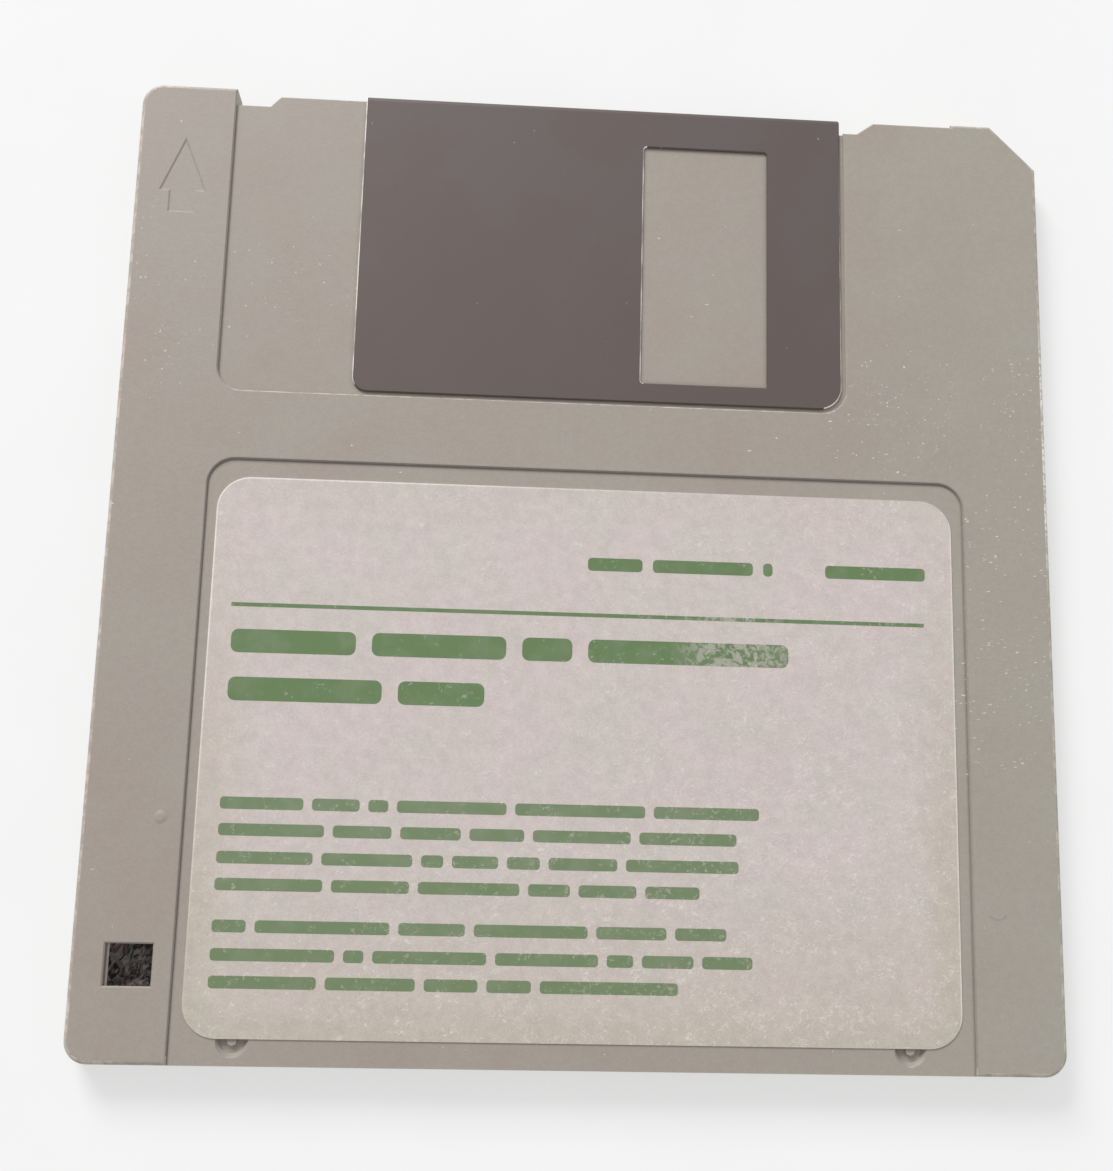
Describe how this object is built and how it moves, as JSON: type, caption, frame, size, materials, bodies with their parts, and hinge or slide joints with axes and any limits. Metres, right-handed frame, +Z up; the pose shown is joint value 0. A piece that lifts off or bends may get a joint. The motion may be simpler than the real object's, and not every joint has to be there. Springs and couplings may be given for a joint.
{
  "type": "floppy disk",
  "caption": "Flat square disk cartridge with a sliding sheet-metal shutter over its head windows, a stuck-on label and a film disk inside that turns on a metal hub.",
  "frame": {"origin": "under the middle of the case's outline, on the hub face, which the disk lies on", "axes": "+X to the right seen from the label face with the shutter edge up, +Y toward the shutter edge, +Z up to the label face"},
  "size_m": [0.09, 0.094, 0.0034],
  "materials": {
    "front_shell": "fine moulded texture, satin",
    "back_shell": "fine moulded texture, satin",
    "shutter": "satin, bare bright cut edges",
    "shutter_spring": "drawn wire",
    "write_protect_slider": "moulded",
    "magnetic_disk": "burnished brown coating",
    "hub": "stamped stainless",
    "hub_adhesive_ring": "clear adhesive",
    "front_liner": "non-woven",
    "back_liner": "non-woven",
    "liner_lifter": "polyester sheet",
    "label": "uncoated, slightly worn",
    "hub_wear_pad": "slippery sheet"
  },
  "bodies": {
    "body": {"front_shell": "front_shell", "back_shell": "back_shell", "shutter_spring": "shutter_spring", "front_liner": "front_liner", "back_liner": "back_liner", "liner_lifter": "liner_lifter", "label": "label", "hub_wear_pad": "hub_wear_pad"},
    "shutter": {"shutter": "shutter"},
    "write_protect_slider": {"write_protect_slider": "write_protect_slider"},
    "disk": {"magnetic_disk": "magnetic_disk", "hub": "hub", "hub_adhesive_ring": "hub_adhesive_ring"}
  },
  "joints": [
    {"name": "shutter_slide", "type": "slide", "parent": "body", "child": "shutter", "axis": [-1, 0, 0], "range_m": [0, 0.01115], "stiffness_N_per_m": 40, "springref_m": -0.008, "deforming": ["shutter_spring"]},
    {"name": "write_protect_slide", "type": "slide", "parent": "body", "child": "write_protect_slider", "axis": [0, 1, 0], "range_m": [0, 0.0041]},
    {"name": "disk_spin", "type": "hinge", "parent": "body", "child": "disk", "pos_m": [0, -0.001, 0.0013], "axis": [0, 0, 1], "continuous": true}
  ]
}
